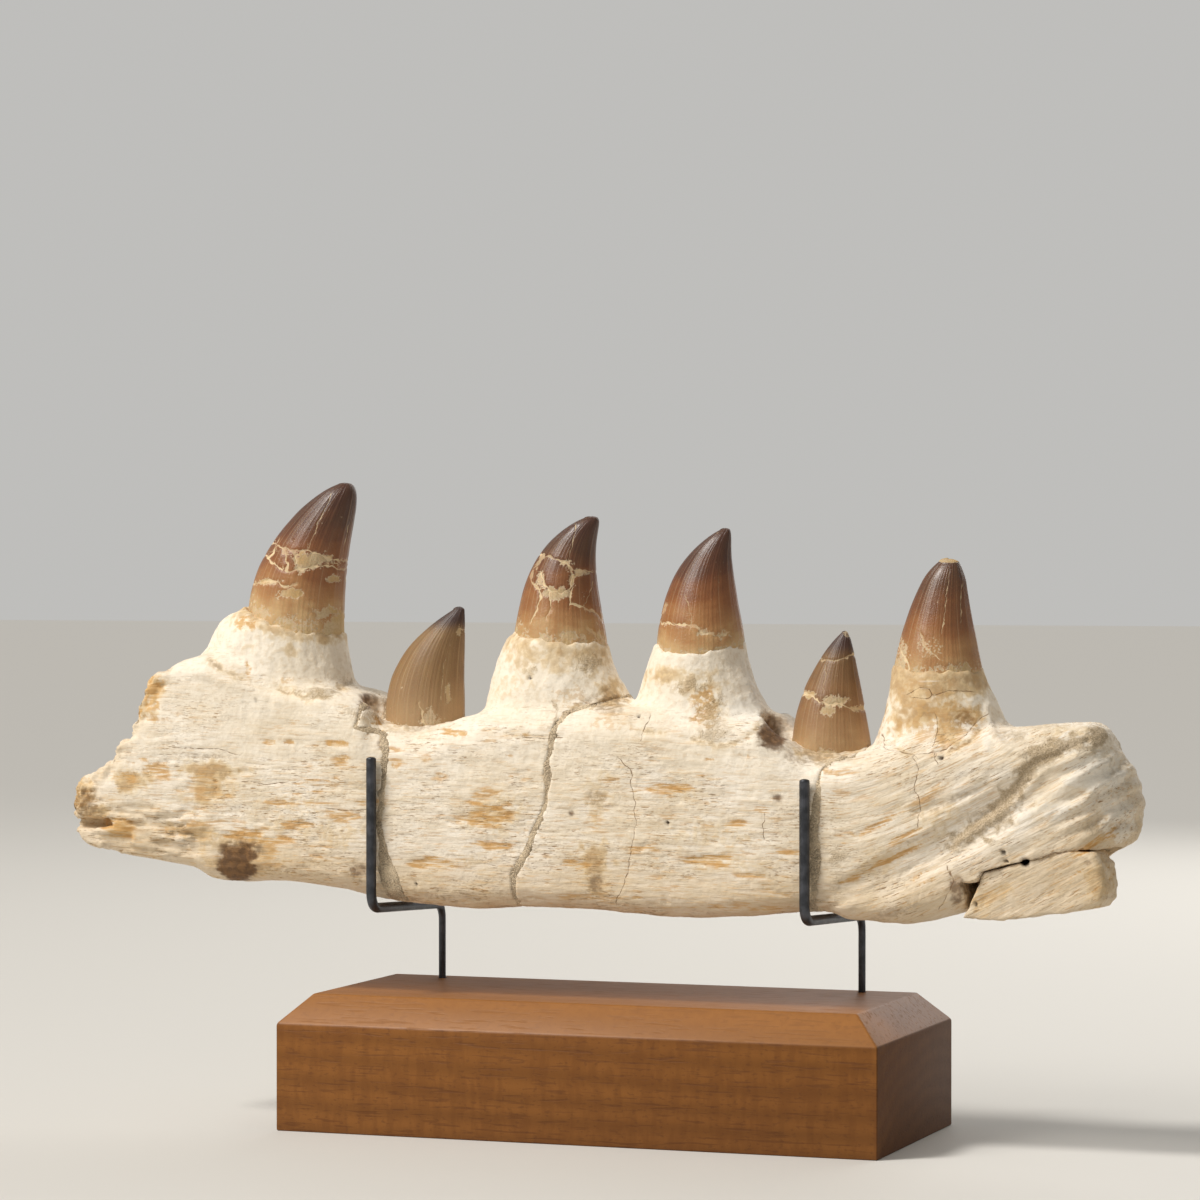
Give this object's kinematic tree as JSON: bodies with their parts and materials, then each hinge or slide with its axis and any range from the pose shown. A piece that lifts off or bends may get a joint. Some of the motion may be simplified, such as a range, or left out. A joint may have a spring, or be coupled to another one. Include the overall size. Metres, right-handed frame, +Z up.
{
  "type": "mosasaur jaw fossil on a stand",
  "caption": "Piece of mosasaur lower jaw with a row of curved teeth, lying in two bent steel hooks on a bevelled wooden block, as a life-size museum display.",
  "frame": {"origin": "centre of the wooden block's underside, on the floor", "axes": "+Z up, +X along the block towards the back end of the jaw (to the right in the display's front view), +Y away from the viewer"},
  "size_m": [0.408, 0.1, 0.2392],
  "materials": {
    "fossil_bone": "matt cream fossil bone with ochre stains and grey sandy filler",
    "tooth_enamel": "glossy amber to dark brown enamel with cream cracks",
    "block_wood": "satin honey-brown hardwood",
    "hook_steel": "blackened steel rod"
  },
  "bodies": {
    "root": {"jaw_section_1": "fossil_bone", "jaw_section_2": "fossil_bone", "jaw_section_3": "fossil_bone", "jaw_section_4": "fossil_bone", "jaw_splinter": "fossil_bone", "tooth_1": "tooth_enamel", "tooth_2": "tooth_enamel", "tooth_3": "tooth_enamel", "tooth_4": "tooth_enamel", "tooth_5": "tooth_enamel", "tooth_6": "tooth_enamel", "stand_block": "block_wood", "stand_hook_left": "hook_steel", "stand_hook_right": "hook_steel", "stand_back_prong_left": "hook_steel", "stand_back_prong_right": "hook_steel"}
  },
  "joints": []
}
